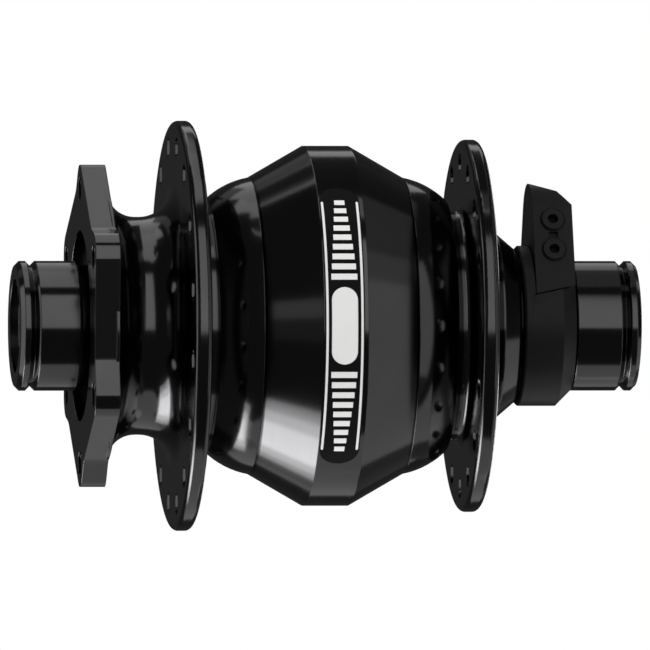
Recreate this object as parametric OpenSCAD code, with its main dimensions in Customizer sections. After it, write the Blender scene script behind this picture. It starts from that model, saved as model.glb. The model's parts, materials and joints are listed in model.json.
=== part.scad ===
// Front bicycle hub dynamo for a six-bolt disc brake and a through axle.
// The axle lies along Y with the disc side at +Y, Z points up along the connector tower,
// and the origin is the middle of the axle.

/* [Axle and end caps] */
// Width over the two end faces, between the fork legs
over_locknut = 100; // [98:0.5:106]
// Diameter of the fork's through axle
through_axle_d = 15; // [12:0.5:15]
// Play of the through axle in the bore, on diameter
bore_play = 0.1; // [0.04:0.02:0.2]
// Wall of the axle's two ends, which carry the left bearing and the end caps
axle_end_wall = 0.95; // [0.9:0.05:1.1]
// Wall of the axle's thick middle, which carries the stator and the right bearing
axle_seat_wall = 2.45; // [2.3:0.05:2.6]
// Height of the flange that the stator is clamped against
axle_flange_h = 1.7; // [1.2:0.1:1.9]
// Wall of the end caps round the axle
cap_wall = 1.9; // [1.8:0.05:2.4]
// Length of the left end cap outside the rotor mount
left_cap_len = 9.9; // [8:0.1:10.2]
// Length of the right end cap
right_cap_len = 10.6; // [9:0.1:11]
// Thickness of the lip that closes each end cap over the axle's end
cap_lip = 1.5; // [1:0.1:1.8]
// Chamfer on the end caps
cap_chamfer = 0.7; // [0.3:0.1:1]
// Distance of the grip groove's middle from the end face
cap_groove_inset = 2.4; // [2:0.1:4]
// Width of the V-shaped grip groove
cap_groove_w = 1.6; // [1:0.1:2]
// Depth of the grip groove
cap_groove_depth = 0.8; // [0.4:0.1:0.9]
// Wall of the left cap's nose, which presses on the bearing
cap_nose_wall = 1.2; // [0.9:0.1:1.4]
// Distance of a cap's O-ring from the end face
cap_o_ring_inset = 5.6; // [4.6:0.1:7]
// Width of the wire groove along the top of the axle
wire_groove_w = 2.7; // [2.6:0.1:3.2]
// Depth of the wire groove
wire_groove_depth = 1.5; // [1.3:0.05:1.6]

/* [Flanges and shell] */
// Distance of each spoke flange's middle from the end face on its side
flange_inset = 26.8; // [25.6:0.1:27.2]
// Diameter of the disc-side spoke flange
left_flange_d = 65.7; // [64:0.1:70]
// Diameter of the cable-side spoke flange
right_flange_d = 59.7; // [58:0.1:66]
// Distance of the spoke holes from a flange's edge
spoke_inset = 3.85; // [3.4:0.05:4.4]
// Spoke holes in each flange
spoke_holes = 16; // [12:2:18]
// Diameter of a spoke hole
spoke_hole_d = 2.6; // [2.3:0.1:2.8]
// Width of the countersink at a spoke hole
spoke_sink = 0.5; // [0.2:0.05:0.6]
// Width of the flat land on a flange's rim
rim_w = 1.05; // [0.9:0.05:1.8]
// Radius of a rim's rounded corners
rim_round = 0.85; // [0.4:0.05:1]
// Diameter of the neck between the rotor mount and the disc-side flange
neck_d = 34.9; // [34:0.1:36]
// Fillet between the neck and the disc-side flange
neck_fillet = 5.4; // [3:0.1:5.6]
// Diameter of the drum's flat middle band
band_d = 57.7; // [56:0.1:62]
// Width of the flat band
band_w = 7.2; // [5:0.1:9]
// Width of the drum between the two shells
drum_w = 24.8; // [24:0.1:25.6]
// Diameter of the drum at its two ends
drum_end_d = 47.55; // [46.5:0.05:48.5]
// Metal left at the drum's thin ends
drum_wall = 1.6; // [1.3:0.1:2]
// Wall of the spigots that screw into the drum
spigot_wall = 1.9; // [1.7:0.1:2.2]
// Distance of a spigot's O-ring from the drum's edge
spigot_o_ring_inset = 1; // [0.9:0.05:1.2]
// Radius of the rounded shoulders beside the drum
shoulder_radius = 13.25; // [12.5:0.25:16]
// Slope at which a shoulder leaves the drum
shoulder_lean = 10.4; // [6:0.2:14]
// Width of a shoulder
shoulder_w = 6.8; // [6:0.1:7]
// Diameter of the groove between a shoulder and its flange
groove_d = 36.8; // [36.4:0.1:38]
// Fillet between that groove and the flange
groove_fillet = 1.2; // [0.5:0.1:1.5]
// Diameter of the boss outside the cable-side flange
boss_d = 29.8; // [29.4:0.1:32]
// Wall of the boss at its tip
boss_tip_wall = 0.95; // [0.8:0.05:1.6]
// Length of the boss's cone
boss_cone = 2.95; // [2:0.05:3.2]
// Fillet between the boss and its flange
boss_fillet = 1; // [0.5:0.1:1.6]

/* [Rotor mount] */
// Distance of the brake rotor's face from the end face
rotor_offset = 10.5; // [10:0.1:11]
// Diameter of the rotor's bolt circle
rotor_pcd = 44; // [43.6:0.1:46]
// Rotor bolts
rotor_bolts = 6; // [6:1:6]
// Tapping diameter of a rotor bolt hole
rotor_tap_d = 4.2; // [4:0.1:4.6]
// Diameter of the lobe round each bolt hole
lobe_d = 7.6; // [7:0.1:9]
// Diameter across the valleys between the lobes
valley_d = 44.6; // [42:0.2:45]
// Angle from a lobe to the valley behind it
valley_turn = 46; // [40:1:47]
// Rounding in the valleys
valley_fillet = 5; // [2:0.5:6]
// Thickness of the rotor mount's plate
plate_t = 4; // [3.4:0.1:4.6]
// Fillet between the plate and the neck
plate_fillet = 4.8; // [3:0.1:4.8]
// Step from the bearing's seat to the recess in the middle of the rotor mount
recess_step = 0.3; // [0.2:0.05:0.8]
// Depth of the recess outside the bearing
recess_depth = 5.5; // [3:0.1:6]

/* [Bearings and seals] */
// Radial section of the left bearing, from its bore to its outside
left_bearing_section = 6.5; // [6:0.1:6.6]
// Width of the left bearing
left_bearing_w = 7; // [6.8:0.1:7.4]
// Balls in the left bearing
left_balls = 11; // [9:1:12]
// Radial section of the right bearing, from its bore to its outside
right_bearing_section = 6; // [5.6:0.1:6.3]
// Width of the right bearing
right_bearing_w = 7; // [6.6:0.1:7.2]
// Balls in the right bearing
right_balls = 14; // [11:1:15]
// Wall of a bearing ring under its balls
race_wall = 1.25; // [1.15:0.05:1.4]
// How far the right bearing reaches past the middle of its flange
right_bearing_set = 0.6; // [0.2:0.1:1]
// Wall of the sleeve between the right bearing and the connector
spacer_wall = 1.1; // [0.8:0.1:1.2]
// Thickness of the dust seals
dust_seal_t = 1.5; // [1:0.1:1.6]
// Depth of the right dust seal's seat in the boss
right_seal_seat = 1.15; // [0.9:0.05:1.2]
// Distance of the right dust seal's middle from the flange's face
right_seal_inset = 2.4; // [2:0.1:2.6]
// Width of the ledge that the left bearing rests on
left_bearing_ledge = 1.6; // [1:0.1:2]
// Width of the ledge that the right bearing rests on
right_bearing_ledge = 1.8; // [1:0.1:2]
// Thickness of a bearing's own seals
bearing_seal_t = 0.6; // [0.5:0.05:0.65]
// Depth of the seat of a bearing's own seals
bearing_seal_seat = 0.45; // [0.35:0.05:0.5]
// Rim of a ball cage beside its pockets
cage_rim = 0.4; // [0.3:0.05:0.5]
// Thickness of an O-ring's section
o_ring_d = 0.8; // [0.6:0.05:0.85]

/* [Generator] */
// Magnet poles round the drum
poles = 26; // [20:2:28]
// Width of the magnets along the axle
magnet_w = 18; // [16:0.5:18]
// Thickness of the magnets
magnet_t = 2; // [1.6:0.1:2.2]
// Gap between two magnets, in degrees
magnet_gap = 1.4; // [1:0.2:3]
// Thickness of the steel ring behind the magnets
yoke_t = 1.4; // [1.2:0.1:1.6]
// Air gap between the magnets and the claws
air_gap = 0.4; // [0.3:0.05:0.6]
// Length of the stator along the axle
stator_w = 20; // [19:0.5:20.4]
// Wall of the stator's core sleeve
core_wall = 2.5; // [2.2:0.1:2.8]
// Thickness of a claw pole's disc
pole_disc_t = 3; // [2.4:0.1:3.2]
// Thickness of a claw
claw_t = 1.9; // [1.6:0.1:2]
// Width of a claw at its root
claw_root = 3.3; // [2.8:0.1:3.4]
// Width of a claw at its tip
claw_tip = 1.9; // [1.4:0.1:2.2]
// Step from the face of a claw pole's disc to its claws
claw_step = 0.3; // [0.2:0.05:0.5]
// Wall of the coil's bobbin
bobbin_wall = 0.85; // [0.7:0.05:1]
// Outer diameter of the stator's clamp nut
nut_d = 29; // [27:0.5:31]
// Width of the clamp nut
nut_w = 3.4; // [2.6:0.1:4]
// Spanner slots in the clamp nut
nut_slots = 4; // [3:1:8]
// Width of a spanner slot
nut_slot_w = 3.2; // [2.4:0.2:4]
// Depth of a spanner slot
nut_slot_depth = 1.8; // [1:0.1:2.2]
// Diameter of a lead wire
lead_d = 1; // [0.8:0.05:1.05]

/* [Connector] */
// Wall of the connector's collar round the axle
collar_wall = 2.85; // [2.7:0.05:3.2]
// Width of the collar
collar_w = 8.55; // [8.2:0.05:8.8]
// Chamfer on the collar's outer end
collar_chamfer = 2.3; // [1.6:0.1:2.4]
// Chamfer on the collar's inner end
collar_edge = 0.3; // [0.2:0.1:0.8]
// Height of the tower's top above the blades' tips
tower_cover = 4.6; // [4.2:0.1:6]
// Radius of the tower's rounded top
tower_tip_r = 6.2; // [5.9:0.1:6.6]
// Step from the collar's face to the circle that the tower's sides leave
tower_foot_step = 0.45; // [0.3:0.05:0.6]
// Thickness of the tower along the axle
tower_t = 6.4; // [6.2:0.1:6.6]
// Step from the collar's outer end to the plug
plug_inset = 0.2; // [0.1:0.1:0.4]
// Fall of the tower's top from its inner to its outer side
tower_fall = 1.2; // [0.6:0.1:2]
// Chamfer on the tower's upper outer edge
tower_chamfer = 2.2; // [0.8:0.1:2.4]
// Height of the seam between the plug and the collar, at its inner end
seam_z = 5; // [4.4:0.1:5.4]
// Rise of the seam towards its outer end, in degrees
seam_rise = 12; // [4:1:14]
// Slope of the ledge under the plug's cheeks
ledge_slope = 2; // [1:0.1:2.2]
// Wall of the collar under the plug
saddle_wall = 1.6; // [1.3:0.1:1.7]
// Diameter of a wire hole in the plug
wire_hole_d = 1.6; // [1.2:0.1:2]
// Depth of a wire hole
wire_hole_depth = 1.3; // [1:0.1:1.6]
// Wall of the raised ring round a wire hole
wire_ring_wall = 1.2; // [0.8:0.1:1.3]
// Height of that ring
wire_ring_h = 0.5; // [0.2:0.1:0.8]
// Width of the notch between the wire holes
notch_w = 1.4; // [1:0.1:2]
// Height of that notch
notch_h = 1; // [0.6:0.1:1.2]
// Depth of that notch
notch_depth = 0.6; // [0.3:0.1:0.9]
// Width of the pedestal inside the plug
pedestal_w = 10.8; // [10.4:0.1:11]
// Thickness of the pedestal along the axle
pedestal_t = 4.4; // [4:0.1:4.6]
// Height of the pedestal above the axle
pedestal_h = 4; // [3.7:0.1:4.4]
// Distance of a terminal blade from the tower's middle
blade_x = 1.3; // [1.2:0.05:1.4]
// Distance of the upper wire hole from the tower's top
wire_hole_drop = 5.8; // [5.2:0.1:6.2]
// Distance between the two wire holes
wire_hole_pitch = 4.8; // [4.6:0.1:5.4]
// Width of a terminal blade
blade_w = 2.8; // [2.4:0.1:2.9]
// Thickness of a terminal blade
blade_t = 0.8; // [0.6:0.05:0.85]
// Length of the blades above the pedestal
blade_len = 4.2; // [3.6:0.1:4.4]
// Height of the terminals' soldered feet above the axle
foot_h = 2.1; // [2:0.05:2.3]
// Thickness of a soldered foot
foot_t = 0.85; // [0.7:0.05:0.9]
// Length of a soldered foot along the axle
foot_len = 2.2; // [1.8:0.1:2.4]
// Wall of the plug's spring contacts
contact_wall = 0.4; // [0.3:0.05:0.45]

/* [Clearances] */
// Gap in a pressed or glued joint
fit = 0.02; // [0.01:0.01:0.03]
// Running gap of the balls, seals and contacts
running = 0.06; // [0.05:0.01:0.08]
// Gap between the shell and the connector
side_gap = 0.5; // [0.3:0.05:0.7]
// Gap between the magnets and the spigots
spigot_gap = 0.2; // [0.1:0.05:0.4]
// Gap between the claws' tips and the other pole's disc
claw_end_gap = 0.4; // [0.3:0.05:0.6]
// Gap between the bobbin and the claw poles
bobbin_gap = 0.15; // [0.1:0.05:0.2]
// Gap between the cable-side shell's lip and the bearing spacer
lip_gap = 0.35; // [0.25:0.05:0.4]
// Gap between the dust seal and the left bearing
seal_gap = 0.1; // [0.05:0.05:0.3]
// Gap between the two lead wires
lead_gap = 0.24; // [0.2:0.02:0.28]
// Gap over the blades' tips in their contacts
blade_gap = 0.3; // [0.2:0.05:0.4]
// Gap round the plug
plug_gap = 0.15; // [0.1:0.01:0.2]

/* [Hidden] */
$fn = 96;

// Overlap that joins two shapes of one solid
join = 0.5;

// Axle and end caps
half_w = over_locknut / 2;
bore_r = (through_axle_d + bore_play) / 2;
end_r = bore_r + axle_end_wall;
seat_r = bore_r + axle_seat_wall;
axle_flange_r = seat_r + axle_flange_h;
cap_r = end_r + cap_wall;
nose_r = end_r + cap_nose_wall;
axle_half = half_w - cap_lip;
seat_end = -(half_w - right_cap_len);
groove_floor_z = seat_r - wire_groove_depth;
o_ring_room = 0.7 * o_ring_d;

// Disc side
rotor_face = half_w - rotor_offset;
rotor_back = rotor_face - plate_t;
left_bearing_out = rotor_face - recess_depth;
left_bearing_in = left_bearing_out - left_bearing_w;
lobe_r = lobe_d / 2;
neck_r = neck_d / 2;
left_nose_len = half_w - left_cap_len - left_bearing_out;
left_mid = (left_bearing_in + left_bearing_out) / 2;
left_outer_r = end_r + left_bearing_section;
left_ledge_r = left_outer_r - left_bearing_ledge;
left_ball_d = left_bearing_section - 2 * race_wall;
recess_r = left_outer_r + recess_step;

// Drum
drum_half = drum_w / 2;
band_r = band_d / 2;
corner_r = drum_end_d / 2;
drum_bore_r = corner_r - drum_wall;
spigot_r = drum_bore_r - running;
spigot_in = magnet_w / 2 + spigot_gap;
spigot_inner_r = spigot_r - spigot_wall;
shoulder_end = drum_half + shoulder_w;
groove_r = groove_d / 2;
flange_offset = half_w - flange_inset;
face_half = rim_w / 2 + rim_round;

// Cable side
collar_in = seat_end + collar_w;
shell_end = collar_in + side_gap;
right_bearing_out = -(flange_offset + right_bearing_set);
right_bearing_in = right_bearing_out + right_bearing_w;
right_mid = (right_bearing_in + right_bearing_out) / 2;
right_outer_r = seat_r + right_bearing_section;
right_ledge_r = right_outer_r - right_bearing_ledge;
right_ball_d = right_bearing_section - 2 * race_wall;
spacer_r = seat_r + spacer_wall;
lip_r = spacer_r + lip_gap;
right_seal_r = lip_r + right_seal_seat;
right_seal_mid = -(flange_offset + face_half + right_seal_inset);
boss_tip_r = lip_r + boss_tip_wall;

// Generator
stator_half = stator_w / 2;
yoke_in_r = drum_bore_r - yoke_t;
magnet_in_r = yoke_in_r - magnet_t;
claw_r = magnet_in_r - air_gap;
claw_in_r = claw_r - claw_t;
core_r = seat_r + core_wall;
coil_half = stator_half - pole_disc_t;
claw_count = poles / 2;
lead_exit_y = -4.5;
lead_slot_y = [lead_exit_y - 1.9, lead_exit_y + 0.9];

// Connector
collar_r = seat_r + collar_wall;
tower_foot_r = collar_r - tower_foot_step;
pedestal_top = seat_r + pedestal_h;
blade_top = pedestal_top + blade_len;
tower_top = blade_top + tower_cover;
upper_hole_z = tower_top - wire_hole_drop;
lower_hole_z = upper_hole_z - wire_hole_pitch;
foot_z = seat_r + foot_h;
tower_tip_z = tower_top - tower_tip_r;
tower_lean = asin((tower_foot_r - tower_tip_r) / tower_tip_z);
plug_out = seat_end + plug_inset;
plug_in = plug_out + tower_t;
tower_mid = (plug_in + plug_out) / 2;
saddle_r = seat_r + saddle_wall;
foot_top = foot_z + foot_t;
well_t = 2.6;

// Route of a lead in the plane x = 0: out of the coil, along the groove and up to its terminal
lead_z = groove_floor_z + lead_d / 2 + 0.15;
lead_run = [lead_exit_y - 2, tower_mid + 2.4];
lead_route = concat(
    [
        [lead_exit_y, core_r + 0.7], [lead_exit_y, seat_r + 1.4],
        [lead_exit_y - 0.2, seat_r + 0.2], [lead_exit_y - 0.8, lead_z + 0.35]
    ],
    [for (i = [0:6]) [lead_run[0] + (lead_run[1] - lead_run[0]) * i / 6, lead_z]],
    [
        [tower_mid + 1.1, lead_z + 0.25], [tower_mid + 0.3, lead_z + 0.95],
        [tower_mid, seat_r + 1.2], [tower_mid, foot_top - 0.15]
    ]
);
lead_x = (lead_d + lead_gap) / 2;
lead_sides = 8;

// Helpers

function polar(r, a) = [r * cos(a), r * sin(a)];

// Where a line through p touches the circle of radius r round c, on the given side
function touch(p, c, r, side) =
    let (d = p - c, turn = acos(r / norm(d)))
    c + polar(r, atan2(d.y, d.x) + side * turn);

// Arc that rounds the corner at v between the points a and b
function rounded(a, v, b, r, steps = 6) =
    let (
        ua = (a - v) / norm(a - v),
        ub = (b - v) / norm(b - v),
        half = acos(ua * ub) / 2,
        middle = (ua + ub) / norm(ua + ub),
        c = v + middle * r / sin(half),
        pa = v + ua * r / tan(half) - c,
        sweep = 180 - 2 * half,
        start = atan2(pa.y, pa.x),
        way = cross(ua, ub) > 0 ? -1 : 1
    )
    [for (i = [0:steps]) c + polar(r, start + way * sweep * i / steps)];

// Turns a profile of (radius, distance along the axle) round the axle
module turned() rotate([-90, 0, 0]) rotate_extrude() children();

// Extrudes a drawing of the XZ plane along the axle, from y0 to y1
module along_axle(y0, y1)
    translate([0, y1, 0]) rotate([90, 0, 0]) linear_extrude(y1 - y0) children();

// Extrudes a drawing of the YZ plane across the axle, to both sides
module across_axle(width)
    translate([-width / 2, 0, 0]) rotate([90, 0, 90]) linear_extrude(width) children();

// Repeats a shape round the axle
module around(count, start = 0)
    for (i = [0:count - 1]) rotate([0, -start - 360 * i / count, 0]) children();

module rod(r, y0, y1) along_axle(y0, y1) circle(r);

// Ring profile between two radii and two places along the axle
module ring_2d(r0, r1, y0, y1) translate([r0, y0]) square([r1 - r0, y1 - y0]);

// Fills the corner between the wall at radius r and the face at y, on the side given by way
module fillet_2d(r, y, radius, way)
    translate([r, y]) mirror([0, way < 0 ? 1 : 0]) difference() {
        translate([-join, -join]) square(radius + join);
        translate([radius, radius]) circle(radius);
    }

// Flat disc with rounded corners at its rim
module flange_2d(flange_r) {
    ring_2d(0, flange_r - rim_round, flange_offset - face_half, flange_offset + face_half);
    ring_2d(0, flange_r, flange_offset - rim_w / 2, flange_offset + rim_w / 2);
    for (side = [-1, 1])
        translate([flange_r - rim_round, flange_offset + side * rim_w / 2]) circle(rim_round);
}

// Spigot, rounded shoulder, groove and spoke flange, which both shells share
module shell_2d(flange_r) {
    difference() {
        ring_2d(0, spigot_r, spigot_in, drum_half + join);
        translate([spigot_r - o_ring_d, drum_half - spigot_o_ring_inset - o_ring_room])
            square([o_ring_d + join, 2 * o_ring_room]);
    }
    intersection() {
        ring_2d(0, corner_r + join, drum_half, shoulder_end);
        translate([
            corner_r - shoulder_radius * cos(shoulder_lean),
            drum_half - shoulder_radius * sin(shoulder_lean)
        ]) circle(shoulder_radius);
    }
    ring_2d(0, groove_r, shoulder_end - join, flange_offset);
    fillet_2d(groove_r, flange_offset - face_half, groove_fillet, -1);
    flange_2d(flange_r);
}

module spoke_drill(flange_d, start) {
    hole_r = spoke_hole_d / 2;
    around(spoke_holes, start)
        translate([flange_d / 2 - spoke_inset, 0, 0]) {
            rod(hole_r, flange_offset - 2 * face_half, flange_offset + 2 * face_half);
            for (side = [-1, 1])
                translate([0, flange_offset + side * face_half, 0])
                    rotate([-90 * side, 0, 0])
                        translate([0, 0, -spoke_sink])
                            cylinder(r1 = hole_r, r2 = hole_r + spoke_sink + join, h = spoke_sink + join);
        }
}

// Rotor mount with a lobe round each bolt and a long straight flank behind each lobe
module rotor_plate_2d() {
    step = 360 / rotor_bolts;
    flanks = [for (i = [0:rotor_bolts - 1])
        let (
            angle = 90 + i * step,
            lobe = polar(rotor_pcd / 2, angle),
            next = polar(rotor_pcd / 2, angle + step),
            valley = polar(valley_d / 2, angle + valley_turn),
            a = touch(valley, lobe, lobe_r, -1),
            b = touch(valley, next, lobe_r, 1)
        )
        [a, each rounded(a, valley, b, valley_fillet), b]];
    polygon([for (flank = flanks) each flank]);
    for (i = [0:rotor_bolts - 1])
        translate(polar(rotor_pcd / 2, 90 + i * step)) circle(lobe_r);
}

// Axle and end caps

module axle() color("dimgray") difference() {
    turned() difference() {
        union() {
            ring_2d(0, end_r, -axle_half, axle_half);
            ring_2d(0, seat_r, seat_end, left_bearing_in);
            ring_2d(0, axle_flange_r, right_bearing_in, -stator_half);
        }
        ring_2d(-join, bore_r, -half_w, half_w);
    }
    translate([-wire_groove_w / 2, tower_mid - well_t / 2, groove_floor_z])
        cube([wire_groove_w, lead_slot_y[1] - tower_mid + well_t / 2, axle_flange_r]);
}

// Cap drawn at the disc-side end of the axle, with a nose that reaches the bearing
module end_cap(body_len, nose_len) {
    groove_edge = cap_groove_w / 2;
    turned() translate([0, half_w]) mirror([0, 1]) difference() {
        polygon([
            [bore_r, 0],
            [cap_r - cap_chamfer, 0],
            [cap_r, cap_chamfer],
            [cap_r, cap_groove_inset - groove_edge],
            [cap_r - cap_groove_depth, cap_groove_inset],
            [cap_r, cap_groove_inset + groove_edge],
            [cap_r, body_len - cap_chamfer / 2],
            [cap_r - cap_chamfer / 2, body_len],
            [nose_len > 0 ? nose_r : end_r + fit, body_len],
            if (nose_len > 0) [nose_r, body_len + nose_len],
            if (nose_len > 0) [end_r + fit, body_len + nose_len],
            [end_r + fit, cap_lip],
            [bore_r, cap_lip]
        ]);
        ring_2d(end_r - join, end_r + o_ring_d + 2 * fit,
            cap_o_ring_inset - o_ring_room, cap_o_ring_inset + o_ring_room);
    }
}

module left_end_cap() color("black") end_cap(left_cap_len, left_nose_len);

module right_end_cap() color("black") mirror([0, 1, 0]) end_cap(right_cap_len, 0);

module end_cap_o_rings() color("darkred")
    for (side = [-1, 1])
        turned() translate([end_r + fit + o_ring_d / 2, side * (half_w - cap_o_ring_inset)])
            circle(d = o_ring_d);

module bearing_spacer() color("silver")
    turned() ring_2d(seat_r + fit, spacer_r, collar_in, right_bearing_out);

// Generator

module stator_core() color("slategray") difference() {
    turned() ring_2d(seat_r + fit, core_r, -stator_half, stator_half);
    lead_slot(core_r + join);
}

// Passage for the two leads through the core and the bobbin
module lead_slot(top)
    translate([-wire_groove_w / 2, lead_slot_y[0], 0])
        cube([wire_groove_w, lead_slot_y[1] - lead_slot_y[0], top]);

// Disc with tapered claws that reach over the coil, drawn with its disc at +Y
module claw_pole(turn) {
    tip_y = -coil_half + claw_end_gap;
    turned() ring_2d(core_r + fit, claw_in_r + claw_t / 2, coil_half, stator_half);
    around(claw_count, turn) intersection() {
        turned() ring_2d(claw_in_r, claw_r, tip_y, stator_half - claw_step);
        translate([core_r, 0, 0])
            rotate([0, 90, 0]) rotate([0, 0, 90]) linear_extrude(claw_r) polygon([
                [tip_y, -claw_tip / 2], [stator_half, -claw_root / 2],
                [stator_half, claw_root / 2], [tip_y, claw_tip / 2]
            ]);
    }
}

module left_claw_pole() color("gray") claw_pole(0);

module right_claw_pole() color("gray") mirror([0, 1, 0]) claw_pole(180 / claw_count);

module coil_bobbin() color("ivory") {
    hub_r = core_r + fit + bobbin_wall;
    rim_r = claw_in_r - bobbin_gap;
    edge = coil_half - bobbin_gap;
    difference() {
        turned() {
            ring_2d(core_r + fit, hub_r, -edge, edge);
            for (side = [-1, 1]) {
                inner = side * (edge - bobbin_wall);
                ring_2d(core_r + fit, rim_r, min(inner, side * edge), max(inner, side * edge));
            }
        }
        lead_slot(hub_r);
    }
}

module coil_winding() color("peru") {
    edge = coil_half - bobbin_gap - bobbin_wall - fit;
    turned() ring_2d(core_r + 2 * fit + bobbin_wall, claw_in_r - 2 * bobbin_gap, -edge, edge);
}

// Two wires swept along the lead's route
module coil_leads() color("firebrick") {
    last = len(lead_route) - 1;
    rings = [for (i = [0:last])
        let (
            p = lead_route[i],
            t = lead_route[min(i + 1, last)] - lead_route[max(i - 1, 0)],
            n = [-t.y, t.x] / norm(t)
        )
        [for (k = [0:lead_sides - 1])
            let (o = polar(lead_d / 2, 360 * k / lead_sides))
            [o.x, p.x + n.x * o.y, p.y + n.y * o.y]]];
    walls = [for (i = [0:last - 1], k = [0:lead_sides - 1])
        let (a = i * lead_sides + k, b = i * lead_sides + (k + 1) % lead_sides)
        [a, a + lead_sides, b + lead_sides, b]];
    ends = [
        [for (k = [0:lead_sides - 1]) k],
        [for (k = [lead_sides - 1:-1:0]) last * lead_sides + k]
    ];
    for (side = [-1, 1])
        translate([side * lead_x, 0, 0])
            polyhedron([for (ring = rings) each ring], concat(walls, ends));
}

// Ring nut with spanner slots in its rim
module stator_nut() color("silver") difference() {
    turned() ring_2d(seat_r + fit, nut_d / 2, stator_half, stator_half + nut_w);
    around(nut_slots, 180 / nut_slots)
        translate([nut_d / 2 - nut_slot_depth, stator_half - join, -nut_slot_w / 2])
            cube([nut_slot_depth + join, nut_w + 2 * join, nut_slot_w]);
}

module magnet_yoke() color("slategray")
    turned() ring_2d(yoke_in_r, drum_bore_r - fit, -magnet_w / 2, magnet_w / 2);

module rotor_magnets() color("lightsteelblue") {
    pitch = 360 / poles;
    around(poles, magnet_gap / 2)
        rotate([-90, 0, 0]) rotate([0, 0, -pitch]) rotate_extrude(angle = pitch - magnet_gap)
            ring_2d(magnet_in_r, yoke_in_r - fit, -magnet_w / 2, magnet_w / 2);
}

// Shell

module disc_side_shell() color("black") difference() {
    union() {
        turned() difference() {
            union() {
                shell_2d(left_flange_d / 2);
                ring_2d(0, neck_r, flange_offset, rotor_back + join);
                fillet_2d(neck_r, flange_offset + face_half, neck_fillet, 1);
                fillet_2d(neck_r, rotor_back, plate_fillet, -1);
            }
            polygon([
                [-join, spigot_in - join],
                [spigot_inner_r, spigot_in - join],
                [spigot_inner_r, drum_half + spigot_wall],
                [left_ledge_r, shoulder_end + spigot_wall],
                [left_ledge_r, rotor_face],
                [-join, rotor_face]
            ]);
        }
        along_axle(rotor_back, rotor_face) difference() {
            rotor_plate_2d();
            circle(left_ledge_r);
        }
    }
    rod(left_outer_r + fit, left_bearing_in, rotor_face);
    rod(recess_r, left_bearing_out, rotor_face + join);
    around(rotor_bolts, 90)
        translate([rotor_pcd / 2, 0, 0])
            rod(rotor_tap_d / 2, rotor_back - plate_fillet, rotor_face + join);
    spoke_drill(left_flange_d, 180 / spoke_holes);
}

module centre_drum() color("black") turned() polygon([
    [drum_bore_r, -drum_half],
    [corner_r, -drum_half],
    [band_r, -band_w / 2],
    [band_r, band_w / 2],
    [corner_r, drum_half],
    [drum_bore_r, drum_half]
]);

module cable_side_shell() color("black") mirror([0, 1, 0]) difference() {
    turned() difference() {
        union() {
            shell_2d(right_flange_d / 2);
            polygon([
                [0, shoulder_end],
                [boss_d / 2, shoulder_end],
                [boss_d / 2, -shell_end - boss_cone],
                [boss_tip_r, -shell_end],
                [0, -shell_end]
            ]);
            fillet_2d(boss_d / 2, flange_offset + face_half, boss_fillet, 1);
        }
        polygon([
            [-join, spigot_in - join],
            [spigot_inner_r, spigot_in - join],
            [spigot_inner_r, drum_half + spigot_wall],
            [right_outer_r + fit, -right_bearing_in - spigot_gap],
            [right_outer_r + fit, -right_bearing_out],
            [right_ledge_r, -right_bearing_out],
            [right_ledge_r, -right_bearing_out + bearing_seal_t],
            [lip_r, -right_bearing_out + bearing_seal_t],
            [lip_r, -shell_end + join],
            [-join, -shell_end + join]
        ]);
        ring_2d(lip_r - join, right_seal_r,
            -right_seal_mid - dust_seal_t / 2, -right_seal_mid + dust_seal_t / 2);
    }
    spoke_drill(right_flange_d, 0);
}

module drum_o_rings() color("darkred")
    for (side = [-1, 1])
        turned() translate([spigot_r - o_ring_d / 2 + fit, side * (drum_half - spigot_o_ring_inset)])
            circle(d = o_ring_d);

module left_dust_seal() color("black")
    turned() ring_2d(nose_r + running, recess_r - fit,
        left_bearing_out + seal_gap, left_bearing_out + seal_gap + dust_seal_t);

module right_dust_seal() color("black")
    turned() ring_2d(spacer_r + running, right_seal_r - fit,
        right_seal_mid - dust_seal_t / 2 + fit, right_seal_mid + dust_seal_t / 2 - fit);

// Bearings

function pitch_r(bore, outer) = (bore + outer) / 2;
// Half the radial gap between the two rings of a bearing
function land(ball) = 0.315 * ball;
// Half the wall of a ball cage
function cage_half(ball) = 0.155 * ball;

module bearing_inner(bore, outer, width, ball, middle) color("silver")
    turned() translate([0, middle]) difference() {
        ring_2d(bore + fit, pitch_r(bore, outer) - land(ball), -width / 2, width / 2);
        translate([pitch_r(bore, outer), 0]) circle(ball / 2 + running);
    }

module bearing_outer(bore, outer, width, ball, middle) color("silver") {
    land_r = pitch_r(bore, outer) + land(ball);
    seat_w = bearing_seal_t + 2 * running;
    turned() translate([0, middle]) difference() {
        ring_2d(land_r, outer, -width / 2, width / 2);
        translate([pitch_r(bore, outer), 0]) circle(ball / 2 + running);
        for (side = [-1, 1])
            translate([land_r - join, side * width / 2 - seat_w])
                square([join + bearing_seal_seat, 2 * seat_w]);
    }
}

module bearing_balls(bore, outer, ball, count, middle) color("gainsboro")
    around(count) translate([pitch_r(bore, outer), middle, 0]) sphere(d = ball);

// Ring with a pocket for each ball
module bearing_cage(bore, outer, ball, count, middle) color("saddlebrown") {
    half_w = ball / 2 + cage_rim;
    inner_r = pitch_r(bore, outer) - cage_half(ball);
    depth = 2 * cage_half(ball);
    difference() {
        turned() ring_2d(inner_r, inner_r + depth, middle - half_w, middle + half_w);
        around(count) translate([inner_r - depth / 2, middle, 0])
            rotate([0, 90, 0]) cylinder(d = ball + 2 * running, h = 2 * depth);
    }
}

module bearing_seals(bore, outer, width, ball, middle) color("black") {
    inner_r = pitch_r(bore, outer) - land(ball) + running;
    outer_r = pitch_r(bore, outer) + land(ball) + bearing_seal_seat - fit;
    for (side = [-1, 1])
        turned() translate([0, middle + side * (width / 2 - running - bearing_seal_t / 2)])
            ring_2d(inner_r, outer_r, -bearing_seal_t / 2, bearing_seal_t / 2);
}

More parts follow.
